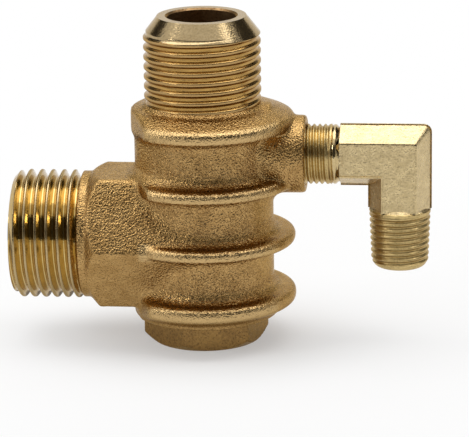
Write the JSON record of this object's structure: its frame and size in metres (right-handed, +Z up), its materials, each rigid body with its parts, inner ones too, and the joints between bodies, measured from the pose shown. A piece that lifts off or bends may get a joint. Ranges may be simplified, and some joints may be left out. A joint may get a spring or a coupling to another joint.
{
  "type": "compressor non-return valve",
  "caption": "Brass check valve with a ribbed forged body, threaded inlet with cone nose, hexagon tank thread, pilot elbow and a plug that guides the sprung poppet.",
  "frame": {"origin": "centre of the bottom plug's resting face, on the valve axis", "axes": "+Z up the valve axis and out of the inlet thread, -X out of the tank thread, +X towards the pilot elbow"},
  "size_m": [0.0679, 0.0296, 0.0536],
  "materials": {
    "forged_brass": "shot-blasted forging with machined threads",
    "plug_brass": "drawn hexagon bar, satin",
    "elbow_brass": "pale forged brass, satin",
    "turned_brass": "turned",
    "seal_rubber": "moulded nitrile",
    "spring_steel": "drawn wire"
  },
  "bodies": {
    "housing": {"valve_body": "forged_brass", "bottom_plug": "plug_brass", "pilot_elbow": "elbow_brass", "plug_o_ring": "seal_rubber", "return_spring": "spring_steel"},
    "poppet": {"valve_poppet": "turned_brass", "seat_facing": "seal_rubber"}
  },
  "joints": [
    {"name": "poppet_lift", "type": "slide", "parent": "housing", "child": "poppet", "axis": [0, 0, -1], "range_m": [0, 0.0032], "stiffness_N_per_m": 330, "springref_m": -0.004, "deforming": ["return_spring"]}
  ]
}
